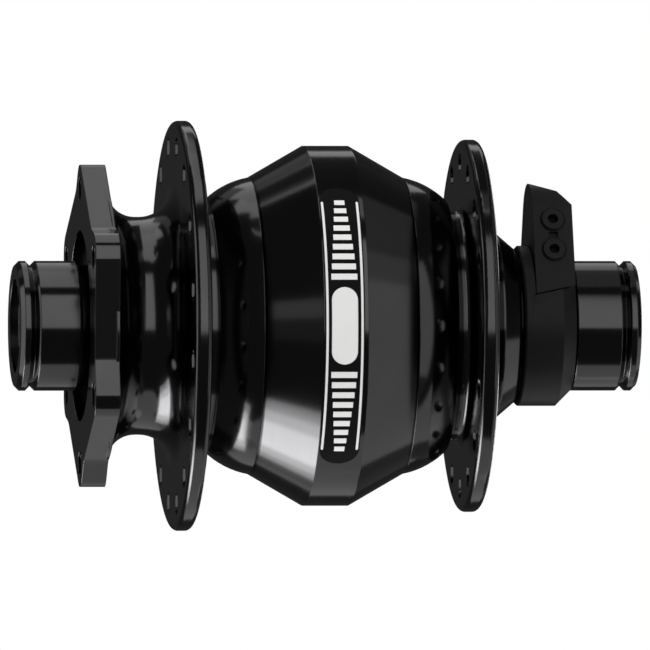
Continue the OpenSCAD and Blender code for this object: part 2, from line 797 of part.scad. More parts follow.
module left_bearing_outer()
    bearing_outer(end_r, left_outer_r, left_bearing_w, left_ball_d, left_mid);
module left_bearing_inner()
    bearing_inner(end_r, left_outer_r, left_bearing_w, left_ball_d, left_mid);
module left_bearing_balls()
    bearing_balls(end_r, left_outer_r, left_ball_d, left_balls, left_mid);
module left_bearing_cage()
    bearing_cage(end_r, left_outer_r, left_ball_d, left_balls, left_mid);
module left_bearing_seals()
    bearing_seals(end_r, left_outer_r, left_bearing_w, left_ball_d, left_mid);
module right_bearing_outer()
    bearing_outer(seat_r, right_outer_r, right_bearing_w, right_ball_d, right_mid);
module right_bearing_inner()
    bearing_inner(seat_r, right_outer_r, right_bearing_w, right_ball_d, right_mid);
module right_bearing_balls()
    bearing_balls(seat_r, right_outer_r, right_ball_d, right_balls, right_mid);
module right_bearing_cage()
    bearing_cage(seat_r, right_outer_r, right_ball_d, right_balls, right_mid);
module right_bearing_seals()
    bearing_seals(seat_r, right_outer_r, right_bearing_w, right_ball_d, right_mid);

// Connector

// Outline of the tower seen along the axle: two circles and the lines that touch both
module tower_2d() {
    circle(tower_foot_r);
    translate([0, tower_tip_z]) circle(tower_tip_r);
    polygon([for (side = [1, -1], end = side > 0 ? [0, 1] : [1, 0])
        let (
            r = end == 0 ? tower_foot_r : tower_tip_r,
            z = end == 0 ? 0 : tower_tip_z
        )
        [side * r * cos(tower_lean), z + r * sin(tower_lean)]]);
}

// Half plane above the seam, seen across the axle, raised by lift
module above_seam_2d(lift) {
    top = 2 * tower_top;
    reach = 2 * tower_t;
    polygon([
        [plug_in + plug_gap, seam_z + lift - plug_gap * tan(seam_rise)],
        [plug_in + plug_gap, top],
        [plug_in - reach, top],
        [plug_in - reach, seam_z + lift + reach * tan(seam_rise)]
    ]);
}

module connector_base() color("black") difference() {
    union() {
        difference() {
            turned() polygon([
                [seat_r + fit, collar_in],
                [collar_r - collar_edge, collar_in],
                [collar_r, collar_in - collar_edge],
                [collar_r, seat_end + collar_chamfer],
                [collar_r - collar_chamfer, seat_end],
                [seat_r + fit, seat_end]
            ]);
            difference() {
                across_axle(4 * collar_r) above_seam_2d(0);
                rod(saddle_r, seat_end - join, collar_in);
            }
            for (side = [0, 1]) mirror([side, 0, 0]) ledge_bevel();
        }
        translate([-pedestal_w / 2, tower_mid - pedestal_t / 2, 0])
            cube([pedestal_w, pedestal_t, pedestal_top]);
    }
    rod(seat_r + fit, seat_end - join, collar_in + join);
    translate([-wire_groove_w / 2, tower_mid - well_t / 2, 0])
        cube([wire_groove_w, well_t, foot_top + fit]);
    for (side = [0, 1]) mirror([side, 0, 0]) terminal(fit);
}

// Slope that bevels the collar's edge under the plug's cheek
module ledge_bevel() {
    ledge_x = tower_foot_r * cos(tower_lean) + running;
    reach = 2 * tower_t;
    size = collar_r / 4;
    translate([ledge_x, plug_in + plug_gap, seam_z]) {
        rotate([90 - seam_rise, 0, 0]) linear_extrude(reach)
            polygon([[0, 0], [size, -ledge_slope * size], [size, size], [0, size]]);
        rotate([0, 90, 0]) cylinder(r1 = 0, r2 = ledge_slope * size, h = size);
    }
}

// Soldered foot and upright blade, grown by a gap where it is used as a pocket
module terminal(gap) {
    foot_x = lead_x + lead_d / 2 + running;
    translate([foot_x - gap, tower_mid - foot_len / 2 - gap, foot_z - gap])
        cube([blade_x + blade_w - foot_x + 2 * gap, foot_len + 2 * gap, foot_t + 2 * gap]);
    translate([blade_x - gap, tower_mid - blade_t / 2 - gap, foot_z])
        cube([blade_w + 2 * gap, blade_t + 2 * gap, blade_top - foot_z + gap]);
}

module connector_terminals() color("goldenrod")
    for (side = [0, 1]) mirror([side, 0, 0]) terminal(0);

// Places a shape on the tower's sloping cheek that faces -X, at height z, pointing outwards
module on_cheek(z) {
    foot_x = tower_foot_r * cos(tower_lean);
    foot_height = tower_foot_r * sin(tower_lean);
    translate([-(foot_x - (z - foot_height) * tan(tower_lean)), tower_mid, z])
        rotate([0, tower_lean - 90, 0]) children();
}

module connector_plug() color("black") {
    ring_r = wire_hole_d / 2 + wire_ring_wall;
    socket_w = pedestal_w + 2 * plug_gap;
    socket_t = pedestal_t + 2 * plug_gap;
    top_out = tower_top - tower_fall;
    difference() {
        union() {
            intersection() {
                along_axle(plug_out, plug_in) tower_2d();
                across_axle(4 * tower_foot_r) intersection() {
                    above_seam_2d(plug_gap);
                    polygon([
                        [plug_in, 0], [plug_in, tower_top],
                        [plug_out + tower_chamfer, top_out],
                        [plug_out, top_out - tower_chamfer], [plug_out, 0]
                    ]);
                }
            }
            for (z = [upper_hole_z, lower_hole_z])
                on_cheek(z) translate([0, 0, -join])
                    cylinder(r1 = ring_r + wire_ring_h / 2, r2 = ring_r - wire_ring_h / 2, h = join + wire_ring_h);
        }
        rod(saddle_r + plug_gap, seat_end - join, collar_in);
        translate([-socket_w / 2, tower_mid - socket_t / 2, 0])
            cube([socket_w, socket_t, pedestal_top + plug_gap]);
        for (side = [0, 1]) mirror([side, 0, 0]) contact_box(fit);
        for (z = [upper_hole_z, lower_hole_z])
            on_cheek(z) translate([0, 0, -wire_hole_depth])
                cylinder(d = wire_hole_d, h = wire_hole_depth + wire_ring_h + join);
        on_cheek((upper_hole_z + lower_hole_z) / 2)
            translate([-notch_h / 2, -notch_w / 2, -notch_depth])
                cube([notch_h, notch_w, notch_depth + join]);
    }
}

// Outer form of a spring contact, grown by a gap where it is used as a pocket
module contact_box(gap) {
    wall = running + contact_wall + gap;
    bottom = pedestal_top + plug_gap + fit - (gap > 0 ? join : 0);
    translate([blade_x - wall, tower_mid - blade_t / 2 - wall, bottom])
        cube([blade_w + 2 * wall, blade_t + 2 * wall, blade_top + blade_gap + contact_wall + gap - bottom]);
}

module connector_contact() difference() {
    contact_box(0);
    translate([blade_x - running, tower_mid - blade_t / 2 - running, 0])
        cube([blade_w + 2 * running, blade_t + 2 * running, blade_top + blade_gap]);
}

module plug_contacts() color("goldenrod")
    for (side = [0, 1]) mirror([side, 0, 0]) connector_contact();

axle();
left_end_cap();
right_end_cap();
end_cap_o_rings();
bearing_spacer();
stator_core();
left_claw_pole();
right_claw_pole();
coil_bobbin();
coil_winding();
coil_leads();
stator_nut();
connector_base();
connector_terminals();
connector_plug();
plug_contacts();
disc_side_shell();
centre_drum();
cable_side_shell();
drum_o_rings();
magnet_yoke();
rotor_magnets();
left_dust_seal();
right_dust_seal();
left_bearing_outer();
left_bearing_inner();
left_bearing_balls();
left_bearing_cage();
left_bearing_seals();
right_bearing_outer();
right_bearing_inner();
right_bearing_balls();
right_bearing_cage();
right_bearing_seals();
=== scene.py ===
# %% [markdown]
# This lesson dresses a front hub dynamo: a bicycle hub with a generator in its drum, a disc brake mount
# on one side and a connector on the other. Its pieces could be modelled again here, but the packed
# model already has each one in its place, in metres, with the axle along Y, the disc side at +Y and the
# connector tower pointing up. So it is loaded as it is, and Blender adds finishes, print, threads and
# light.

# %% Load the solids
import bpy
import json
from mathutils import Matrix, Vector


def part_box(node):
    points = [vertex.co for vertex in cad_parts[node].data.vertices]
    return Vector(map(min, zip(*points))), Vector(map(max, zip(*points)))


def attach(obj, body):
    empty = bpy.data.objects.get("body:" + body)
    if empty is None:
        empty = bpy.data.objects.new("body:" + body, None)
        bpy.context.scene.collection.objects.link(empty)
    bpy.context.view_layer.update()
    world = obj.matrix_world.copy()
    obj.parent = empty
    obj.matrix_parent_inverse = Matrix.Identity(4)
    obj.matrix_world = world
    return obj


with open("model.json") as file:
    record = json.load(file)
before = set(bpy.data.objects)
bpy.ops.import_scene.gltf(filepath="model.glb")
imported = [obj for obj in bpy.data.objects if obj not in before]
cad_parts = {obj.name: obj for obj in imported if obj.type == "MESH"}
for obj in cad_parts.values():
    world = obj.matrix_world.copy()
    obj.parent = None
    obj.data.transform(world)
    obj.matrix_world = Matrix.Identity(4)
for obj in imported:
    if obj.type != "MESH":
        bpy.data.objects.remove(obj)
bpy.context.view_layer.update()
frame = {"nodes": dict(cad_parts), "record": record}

# %% [markdown]
# What is added later has to stay inside the box that the solids fill.

# %% Import modules and set the millimetre
import json
import math

import bmesh
import bpy
from mathutils import Vector

MM = 0.001

# %% [markdown]
# The hub is seen from far away through a long lens, level with the axle and turned a few degrees
# towards the disc side, so its circles look like slim ellipses. A camera could be placed by eye, but
# two measured numbers do it exactly: how many pixels a metre takes, and where the middle of the axle
# falls in the picture.

# %% Place the camera
IMAGE_PIXELS = 650
PIXELS_PER_METRE = 6240.0
AXLE_MIDDLE_PIXEL = (324.6, 325.8)
CAMERA_AZIMUTH = math.radians(263.0)
CAMERA_DISTANCE = 4.2
NEAREST_SEEN = 0.1
SENSOR_MM = 36.0

up = Vector((0.0, 0.0, 1.0))
towards_camera = Vector((math.sin(CAMERA_AZIMUTH), -math.cos(CAMERA_AZIMUTH), 0.0))
picture_right = up.cross(towards_camera)
shift_right = (IMAGE_PIXELS / 2 - AXLE_MIDDLE_PIXEL[0]) / PIXELS_PER_METRE
shift_up = (AXLE_MIDDLE_PIXEL[1] - IMAGE_PIXELS / 2) / PIXELS_PER_METRE
aim = picture_right * shift_right + up * shift_up

lens = bpy.data.cameras.new("long_lens")
lens.sensor_width = SENSOR_MM
lens.lens = SENSOR_MM * CAMERA_DISTANCE * PIXELS_PER_METRE / IMAGE_PIXELS
lens.clip_start = NEAREST_SEEN
camera = bpy.data.objects.new("camera", lens)
camera.location = aim + towards_camera * CAMERA_DISTANCE
camera.rotation_euler = (-towards_camera).to_track_quat("-Z", "Y").to_euler()
bpy.context.scene.collection.objects.link(camera)
bpy.context.scene.camera = camera
bpy.context.scene.view_settings.view_transform = "Standard"
print("lens of", round(lens.lens), "mm at", CAMERA_DISTANCE, "m")

# %% [markdown]
# Shader nodes get long when each one is made and linked by hand. Two small classes make them read like
# arithmetic: a Wire is one output of a node, and plus, minus, times and divide on it add Math nodes.
# A Tree adds any other node from its type, its settings and the values or wires of its sockets.

# %% Write shader maths as Python
class Wire:
    """One output socket: operators on it add Math nodes to its tree."""

    def __init__(self, tree, socket):
        self.tree = tree
        self.socket = socket

    def math(self, operation, *others):
        sockets = dict(enumerate((self, *others)))
        return self.tree.node("ShaderNodeMath", {"operation": operation}, sockets)

    def __add__(self, other):
        return self.math("ADD", other)

    def __mul__(self, other):
        return self.math("MULTIPLY", other)

    def __sub__(self, other):
        return self.math("SUBTRACT", other)

    def __truediv__(self, other):
        return self.math("DIVIDE", other)

    def __rsub__(self, other):
        return (self * -1.0) + other

    __radd__ = __add__
    __rmul__ = __mul__

    def between(self, low, high):
        """Stretches low..high to 0..1, and stops at both ends."""
        sockets = {"Value": self, 1: low, 2: high}
        return self.tree.node("ShaderNodeMapRange", {"clamp": True}, sockets)


class Tree:
    """A node tree that adds a node in one call."""

    def __init__(self, node_tree):
        self.nodes = node_tree.nodes
        self.links = node_tree.links

    def node(self, kind, settings=None, sockets=None, output=0):
        made = self.nodes.new(kind)
        for name, value in (settings or {}).items():
            setattr(made, name, value)
        for name, value in (sockets or {}).items():
            self.plug(made.inputs[name], value)
        return Wire(self, made.outputs[output])

    def plug(self, socket, value):
        if isinstance(value, Wire):
            self.links.new(value.socket, socket)
        else:
            socket.default_value = value


# %% [markdown]
# A finish is a material with a Principled shader. Its patterns read Object coordinates, which on these
# pieces are the hub's own metres, so a pattern stays on its piece when the piece moves. Sharp edges are
# rounded in the normal alone, and the same rounding tells where an edge is, so that it can look worn.

# %% Describe a finish
# Where an edge starts to show, and where it shows fully
EDGE_LEAN = (0.02, 0.25)


class Finish(Tree):
    """A material with one Principled shader and the coordinates that its patterns read."""

    def __init__(self, name, constants=None):
        self.material = bpy.data.materials.new(name)
        self.material.use_nodes = True
        super().__init__(self.material.node_tree)
        self.shader = self.nodes["Principled BSDF"]
        for socket, value in (constants or {}).items():
            self.shader.inputs[socket].default_value = value

    def feed(self, socket, wire):
        self.links.new(wire.socket, self.shader.inputs[socket])

    def place(self):
        return self.node("ShaderNodeTexCoord", output="Object")

    def axes(self):
        place = self.place()
        return [self.node("ShaderNodeSeparateXYZ", sockets={0: place}, output=axis) for axis in "XYZ"]

    def noise(self, scale, detail):
        sockets = {"Vector": self.place(), "Scale": scale, "Detail": detail}
        return self.node("ShaderNodeTexNoise", sockets=sockets)

    def tint(self, mask, dark, light):
        """A colour that goes from dark to light as the mask goes from 0 to 1."""
        sockets = {"Factor": mask, 6: (*dark, 1.0), 7: (*light, 1.0)}
        return self.node("ShaderNodeMix", {"data_type": "RGBA"}, sockets, output=2)

    def soft_edges(self, radius):
        """The normal of a surface whose sharp edges are rounded to this radius."""
        return self.node("ShaderNodeBevel", {"samples": 6}, {"Radius": radius})

    def edge_mask(self, rounded):
        """0 on flat ground and 1 on an edge: how far the rounded normal leans from the true one."""
        flat = self.node("ShaderNodeNewGeometry", output="Normal")
        dot = {"operation": "DOT_PRODUCT"}
        along = self.node("ShaderNodeVectorMath", dot, {0: rounded, 1: flat}, output="Value")
        return (1.0 - along).between(*EDGE_LEAN)

    def bump(self, height, depth, strength, normal=None):
        sockets = {"Height": height, "Distance": depth, "Strength": strength}
        if normal:
            sockets["Normal"] = normal
        self.feed("Normal", self.node("ShaderNodeBump", sockets=sockets))


def wear(finish, *nodes):
    """Puts a finish on solids of the frame."""
    for node in nodes:
        slots = frame["nodes"][node].data.materials
        slots.clear()
        slots.append(finish.material)
    print(finish.material.name, "on", ", ".join(nodes))


# %% [markdown]
# The shell, the drum and the end caps are turned from aluminium and anodised gloss black. A black
# plastic would be too dull for them: the dye makes the metal dark but leaves it a mirror, so the finish
# is a metal with a dark colour and a low roughness. The lathe leaves fine rings, which follow y on the
# barrel and the radius on the faces, and the sum of the two follows both. Edges are a little paler,
# because the film is thinner there. Seams and tight corners get painted shade: each is a darker line
# in the colour at one place along the axle.

# %% Black anodised aluminium
SHADE_LINE_FADE = 0.25 * MM
# The dark end is reached only where the lines of painted shade darken the colour.
ANODISED_DARK_AND_SHADE = (0.015, 0.015, 0.016)
ANODISED_LIGHT = (0.135, 0.135, 0.138)


def turned_rings(finish, scale):
    x, y, z = finish.axes()
    radius = (x * x + z * z).math("SQRT")
    sockets = {"W": y + radius, "Scale": scale, "Detail": 3.0}
    return finish.node("ShaderNodeTexNoise", {"noise_dimensions": "1D"}, sockets)


def anodised(name, painted_shade_lines=()):
    """Gloss black film, with lines of painted shade given by their place along the axle and half their
    width.
    """
    finish = Finish(name, {"Metallic": 1.0})
    rings = turned_rings(finish, 9000.0)
    haze = finish.noise(70.0, 4.0)
    rounded = finish.soft_edges(0.22 * MM)
    worn = finish.edge_mask(rounded)
    shade = (haze * 0.35 + rings * 0.07 + worn * 0.18 + 0.38).between(0.0, 1.0)
    # Painted shade: each line darkens the colour where a seam or a corner falls into shade.
    for place, half_width in painted_shade_lines:
        from_shade_line = (finish.axes()[1] - place).math("ABSOLUTE")
        shade = shade * from_shade_line.between(half_width, half_width + SHADE_LINE_FADE)
    finish.feed("Base Color", finish.tint(shade, ANODISED_DARK_AND_SHADE, ANODISED_LIGHT))
    finish.feed("Roughness", 0.1 + haze * 0.05 + rings * 0.02)
    finish.bump(rings, 0.0008 * MM, 0.5, rounded)
    return finish


black_anodised = anodised("black_anodised")
wear(black_anodised, "disc_side_shell", "left_end_cap", "right_end_cap")

# %% [markdown]
# The drum has a seam at each end. The cable side has a tight neck, the root of its boss, and the gap
# between the shell and the connector, where a short stretch of the spacer shows. Each of them gets a
# line of painted shade. The seams and the gap are read from the solids' boxes, so they stay right if the
# solids change.

# %% Paint shade into the seams and the corners
# Painted shade: a dark line in the colour along both seams of the drum.
drum_seam_shade = [(corner.y, 0.25 * MM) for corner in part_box("centre_drum")]
drum_anodised = anodised("drum_anodised", drum_seam_shade)
wear(drum_anodised, "centre_drum")

# Painted shade: dark lines in the colour at the neck corner, the boss root and the spacer gap.
NECK_CORNER_SHADE = (-19.65 * MM, 0.4 * MM)
BOSS_ROOT_SHADE = (-26.45 * MM, 0.6 * MM)
shell_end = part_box("cable_side_shell")[0].y
connector_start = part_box("connector_base")[1].y
spacer_gap_shade = ((shell_end + connector_start) / 2, 0.4 * MM)
cable_side_anodised = anodised("cable_side_anodised", [NECK_CORNER_SHADE, BOSS_ROOT_SHADE, spacer_gap_shade])
wear(cable_side_anodised, "cable_side_shell", "bearing_spacer")

# %% [markdown]
# The connector is moulded from matte black plastic. The tool that moulds it is spark eroded, which
# leaves a fine even grain. Modelled grains would cost millions of faces, so a small noise drives a bump
# and a little of the roughness. The cages, the bobbin, the rubber seals and the insulation of the leads
# are moulded too, and take the same recipe with other colours.

# %% Moulded plastics
def moulded(name, dark, light, roughness, grain, gloss=0.5):
    finish = Finish(name, {"Specular IOR Level": gloss})
    grains = finish.noise(grain, 2.0)
    clouds = finish.noise(160.0, 3.0)
    rounded = finish.soft_edges(0.2 * MM)
    finish.feed("Base Color", finish.tint(clouds * 0.5 + grains * 0.5, dark, light))
    finish.feed("Roughness", roughness + grains * 0.12)
    finish.bump(grains, 0.03 * MM, 0.35, rounded)
    return finish


PLASTIC_DARK = (0.006, 0.006, 0.0065)
PLASTIC_LIGHT = (0.012, 0.012, 0.0125)
black_plastic = moulded("black_plastic", PLASTIC_DARK, PLASTIC_LIGHT, 0.34, 5200.0, gloss=0.22)
cage_polymer = moulded("cage_polymer", (0.36, 0.25, 0.14), (0.48, 0.35, 0.22), 0.38, 4200.0)
bobbin_plastic = moulded("bobbin_plastic", (0.72, 0.69, 0.61), (0.84, 0.82, 0.76), 0.45, 4200.0)
black_rubber = moulded("black_rubber", (0.013, 0.013, 0.013), (0.026, 0.026, 0.026), 0.62, 3600.0)
lead_insulation = moulded("lead_insulation", (0.42, 0.02, 0.02), (0.55, 0.04, 0.035), 0.3, 3000.0)
wear(black_plastic, "connector_base", "connector_plug")
wear(cage_polymer, "left_bearing_cage", "right_bearing_cage")
wear(bobbin_plastic, "coil_bobbin")
wear(lead_insulation, "coil_leads")
wear(black_rubber, "end_cap_o_rings", "drum_o_rings")
for side in ("left", "right"):
    wear(black_rubber, f"{side}_dust_seal", f"{side}_bearing_seals")

# %% [markdown]
# Inside, the metals are bare: a turned axle and nut, ground bearing rings and balls, soft iron claws,
# nickel-plated magnets and brass terminals. A recipe for each would repeat itself, so they share one,
# and differ in colour, in roughness and in the spacing and depth of the tool's rings.

# %% Bare metals
def bare_metal(name, dark, light, roughness, ring_scale, ring_depth):
    finish = Finish(name, {"Metallic": 1.0})
    rings = turned_rings(finish, ring_scale)
    clouds = finish.noise(240.0, 4.0)
    rounded = finish.soft_edges(0.15 * MM)
    finish.feed("Base Color", finish.tint(clouds * 0.6 + rings * 0.4, dark, light))
    finish.feed("Roughness", roughness + clouds * 0.1 + rings * 0.05)
    finish.bump(rings, ring_depth, 0.6, rounded)
    return finish


aluminium = bare_metal("bare_aluminium", (0.52, 0.52, 0.54), (0.7, 0.7, 0.72), 0.22, 5000.0, 0.004 * MM)
steel = bare_metal("bearing_steel", (0.56, 0.56, 0.58), (0.7, 0.7, 0.72), 0.08, 9000.0, 0.001 * MM)
iron = bare_metal("soft_iron", (0.24, 0.24, 0.26), (0.44, 0.44, 0.45), 0.34, 1500.0, 0.002 * MM)
nickel = bare_metal("magnet_nickel", (0.52, 0.5, 0.46), (0.66, 0.63, 0.58), 0.16, 3000.0, 0.001 * MM)
brass = bare_metal("terminal_brass", (0.68, 0.5, 0.2), (0.84, 0.68, 0.36), 0.2, 3000.0, 0.002 * MM)
wear(aluminium, "axle", "stator_nut")
for side in ("left", "right"):
    wear(steel, *(f"{side}_bearing_{piece}" for piece in ("outer", "inner", "balls")))
wear(iron, "stator_core", "left_claw_pole", "right_claw_pole", "magnet_yoke")
wear(nickel, "rotor_magnets")
wear(brass, "connector_terminals", "plug_contacts")

# %% [markdown]
# The coil is enamelled copper wire wound in even layers. Hundreds of modelled turns would be heavy, and
# the shell hides them. Each turn is a groove and a ridge along y, so a sine of y, at the pitch of the
# wire, bumps the turns and darkens the copper in the grooves as painted shade, and a clear coat stands
# for the enamel.

# %% Enamelled copper
WIRE_PITCH = 0.5 * MM
enamelled = {"Metallic": 1.0, "Coat Weight": 0.6, "Coat Roughness": 0.12}
copper_wire = Finish("copper_wire", enamelled)
turns = (copper_wire.axes()[1] * (2 * math.pi / WIRE_PITCH)).math("SINE") * 0.5 + 0.5
# Painted shade: the copper colour turns dark in the grooves between the turns.
copper_wire.feed("Base Color", copper_wire.tint(turns, (0.3, 0.1, 0.035), (0.76, 0.36, 0.17)))
copper_wire.feed("Roughness", 0.34 - turns * 0.12)
copper_wire.bump(turns, 0.1 * MM, 0.8)
wear(copper_wire, "coil_winding")

# %% [markdown]
# The drum carries a printed film round its flat band: a black strip with two white rails, a white field
# in the middle and bars that get narrower towards the ends. The bars repeat and the film follows the
# drum, so Geometry Nodes make both. A small class makes such a tree with named inputs, and a function
# turns what a tree made into a plain mesh.

# %% Describe a Geometry Nodes recipe
class Recipe(Tree):
    """A Geometry Nodes tree with named inputs, which ends in Realize Instances and Set Material."""

    def __init__(self, name, inputs):
        self.group = bpy.data.node_groups.new(name, "GeometryNodeTree")
        super().__init__(self.group)
        sockets = {"Geometry": "Geometry", **inputs, "Material": "Material"}
        for label, kind in sockets.items():
            self.group.interface.new_socket(label, in_out="INPUT", socket_type="NodeSocket" + kind)
        self.group.interface.new_socket("Geometry", in_out="OUTPUT", socket_type="NodeSocketGeometry")
        self.entry = self.nodes.new("NodeGroupInput")
        print("recipe", name, "with", ", ".join(inputs))

    def given(self, label):
        return Wire(self, self.entry.outputs[label])

    def end(self, *parts):
        joined = self.nodes.new("GeometryNodeJoinGeometry")
        for part in parts:
            self.links.new(part.socket, joined.inputs[0])
        solid = self.node("GeometryNodeRealizeInstances", sockets={0: Wire(self, joined.outputs[0])})
        made = self.node("GeometryNodeSetMaterial", sockets={0: solid, "Material": self.given("Material")})
        self.links.new(made.socket, self.nodes.new("NodeGroupOutput").inputs[0])

    def use_on(self, piece, finish, **values):
        modifier = piece.modifiers.new(self.group.name, "NODES")
        modifier.node_group = self.group
        values = {label.replace("_", " "): value for label, value in values.items()}
        values["Material"] = finish.material
        for item in self.group.interface.items_tree:
            if item.in_out == "INPUT" and item.name in values:
                modifier[item.identifier] = values[item.name]


def set_down(piece):
    """Turns a piece with modifiers into a plain mesh."""
    bpy.context.view_layer.update()
    graph = bpy.context.evaluated_depsgraph_get()
    mesh = bpy.data.meshes.new_from_object(piece.evaluated_get(graph), depsgraph=graph)
    piece.modifiers.clear()
    piece.data = mesh
    print(piece.name, "has", len(mesh.polygons), "faces")


# %% [markdown]
# A printed scale is a row of bars. A loop over boxes would draw it once and for all, but a line of
# points with a box on each one keeps the number, the pitch and the taper as inputs. The row is added to
# what is already drawn, so two rows can go into one piece.

# %% Write the recipe for a row of bars
def recipe_for_bars():
    """Bars along X that get narrower with each step."""
    sizes = ("Start", "Pitch", "Across", "Long", "Wide", "Thick", "Taper")
    recipe = Recipe("row_of_bars", {"Count": "Int", **dict.fromkeys(sizes, "Float")})
    node, given = recipe.node, recipe.given
    thick = given("Thick")
    size = node("ShaderNodeCombineXYZ", sockets={0: given("Long"), 1: given("Wide"), 2: thick})
    bar = node("GeometryNodeMeshCube", sockets={"Size": size})
    start = node("ShaderNodeCombineXYZ", sockets={0: given("Start"), 1: given("Across"), 2: thick * 0.5})
    step = node("ShaderNodeCombineXYZ", sockets={0: given("Pitch")})
    row = {"Count": given("Count"), "Start Location": start, "Offset": step}
    points = node("GeometryNodeMeshLine", sockets=row)
    far_along = node("GeometryNodeInputIndex") / (given("Count") - 1.0)
    narrower = 1.0 - far_along * given("Taper")
    scale = node("ShaderNodeCombineXYZ", sockets={0: 1.0, 1: narrower, 2: 1.0})
    placed = {"Points": points, "Instance": bar, "Scale": scale}
    recipe.end(given("Geometry"), node("GeometryNodeInstanceOnPoints", sockets=placed))
    return recipe


row_of_bars = recipe_for_bars()

# %% [markdown]
# A film is printed flat and then stuck round the drum. Bending each point by hand would tie the drawing
# to one drum, so the second recipe does what the hand does: the distance along the strip becomes an
# angle, and the height above the strip is added to the drum's radius.

# %% Write the recipe that rolls a drawing onto the drum
def recipe_for_rolling():
    """X goes round the Y axis from the front, Y stays, and Z points away from the axis."""
    recipe = Recipe("roll_on", {"Radius": "Float"})
    node, radius = recipe.node, recipe.given("Radius")
    flat = node("GeometryNodeInputPosition")
    along, across, above = (
        node("ShaderNodeSeparateXYZ", sockets={0: flat}, output=axis) for axis in "XYZ"
    )
    turn = along / radius
    reach = above + radius
    rolled = node("ShaderNodeCombineXYZ", sockets={
        0: turn.math("COSINE") * reach * -1.0, 1: across, 2: turn.math("SINE") * reach,
    })
    moved = {"Geometry": recipe.given("Geometry"), "Position": rolled}
    recipe.end(node("GeometryNodeSetPosition", sockets=moved))
    return recipe


roll_on = recipe_for_rolling()

# %% [markdown]
# The film, its rails and the white field are slabs with round ends. A curve could be filled for each
# one, but its faces would be too long to bend. So at each step along the strip a rule tells how wide
# the slab is, and four faces join one step to the next. Everything is drawn flat, with its length
# along X.

# %% Draw slabs with round ends
SPANS = 64
TIP_SHARE = 0.1


def round_slab(shape, half_length, half_width, low, high, across):
    """Adds a closed slab to a bmesh, in short steps that can bend. Its tips keep a share of its width."""
    rows = []
    for i in range(SPANS + 1):
        x = -half_length * math.cos(math.pi * i / SPANS)
        past_straight = max(abs(x) - (half_length - half_width), 0.0)
        half = math.sqrt(max(half_width**2 - past_straight**2, 0.0))
        half = max(half, TIP_SHARE * half_width)
        corners = ((-half, low), (half, low), (half, high), (-half, high))
        rows.append([shape.verts.new((x, across + y, z)) for y, z in corners])
    for first, second in zip(rows, rows[1:]):
        for k in range(4):
            n = (k + 1) % 4
            shape.faces.new((first[k], second[k], second[n], first[n]))
    shape.faces.new(rows[0])
    shape.faces.new(rows[-1][::-1])


def new_piece(name, slabs=()):
    """Makes an object from the sizes of its slabs."""
    shape = bmesh.new()
    for slab in slabs:
        round_slab(shape, *slab)
    bmesh.ops.recalc_face_normals(shape, faces=shape.faces)
    mesh = bpy.data.meshes.new(name)
    shape.to_mesh(mesh)
    shape.free()
    piece = bpy.data.objects.new(name, mesh)
    bpy.context.scene.collection.objects.link(piece)
    print(name, "starts with", len(mesh.polygons), "faces")
    return piece


# %% [markdown]
# Printed film has two finishes: a satin black foil, and white ink, which is never quite even. The foil
# is sunk a little into the drum and the ink a little into the foil, so that no gap shows from the side.

# %% Draw the film and its print
FILM_MIDDLE = 0.25 * MM
FILM_HALF_LENGTH = 24.9 * MM
FILM_HALF_WIDTH = 3.2 * MM
FILM_TOP = 0.07 * MM
PRINT_TOP = 0.1 * MM
SUNK = 0.02 * MM
RAIL_HALF_LENGTH = FILM_HALF_LENGTH - FILM_HALF_WIDTH
RAIL_HALF_WIDTH = 0.2 * MM
RAIL_ACROSS = FILM_HALF_WIDTH - 2 * RAIL_HALF_WIDTH
FIELD_HALF_LENGTH = 6.2 * MM
FIELD_HALF_WIDTH = 2.1 * MM

film_black = moulded("film_black", (0.004, 0.004, 0.004), (0.008, 0.008, 0.008), 0.4, 2500.0, gloss=0.06)
ink_white = moulded("ink_white", (0.8, 0.8, 0.79), (0.88, 0.88, 0.87), 0.42, 3500.0)
film_slab = (FILM_HALF_LENGTH, FILM_HALF_WIDTH, -SUNK, FILM_TOP, FILM_MIDDLE)
drum_film = new_piece("drum_film", [film_slab])
ink = (FILM_TOP - SUNK, PRINT_TOP)
rails = [
    (RAIL_HALF_LENGTH, RAIL_HALF_WIDTH, *ink, FILM_MIDDLE + side * RAIL_ACROSS) for side in (-1, 1)
]
field = (FIELD_HALF_LENGTH, FIELD_HALF_WIDTH, *ink, FILM_MIDDLE)
drum_print = new_piece("drum_print", [*rails, field])

# %% [markdown]
# The bars start past the white field and go both ways. Then the film and its print are rolled onto the
# flat band, which is the widest part of the drum. Both turn with the shell, so they ride on it.

# %% Add the bars and roll the film on
BAR_COUNT = 9
BAR_START = 7.9 * MM
BAR_PITCH = 1.7 * MM
BAR_LONG = 1.0 * MM
BAR_TAPER = 0.6

bar = {"Long": BAR_LONG, "Wide": 2 * FIELD_HALF_WIDTH, "Thick": PRINT_TOP, "Taper": BAR_TAPER}
for side in (-1, 1):
    row = {"Count": BAR_COUNT, "Start": side * BAR_START, "Pitch": side * BAR_PITCH}
    row_of_bars.use_on(drum_print, ink_white, Across=FILM_MIDDLE, **row, **bar)
band_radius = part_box("centre_drum")[1].x
roll_on.use_on(drum_film, film_black, Radius=band_radius)
roll_on.use_on(drum_print, ink_white, Radius=band_radius)
for piece, slot in ((drum_film, "black_plastic"), (drum_print, "bobbin_plastic")):
    set_down(piece)
    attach(piece, "shell")

# %% [markdown]
# The six holes for the brake disc's bolts are tapped. Rings stacked in a hole would do from afar, but a
# thread is one ridge that climbs along a helix, so a spiral curve sweeps a three-sided profile, and a
# copy goes into each hole of the bolt circle.

# %% Write the recipe for tapped holes
STEPS_A_TURN = 28
RIDGE_SIDES = 3
FIRST_HOLE = math.pi / 6
Z_TO_Y = -math.pi / 2


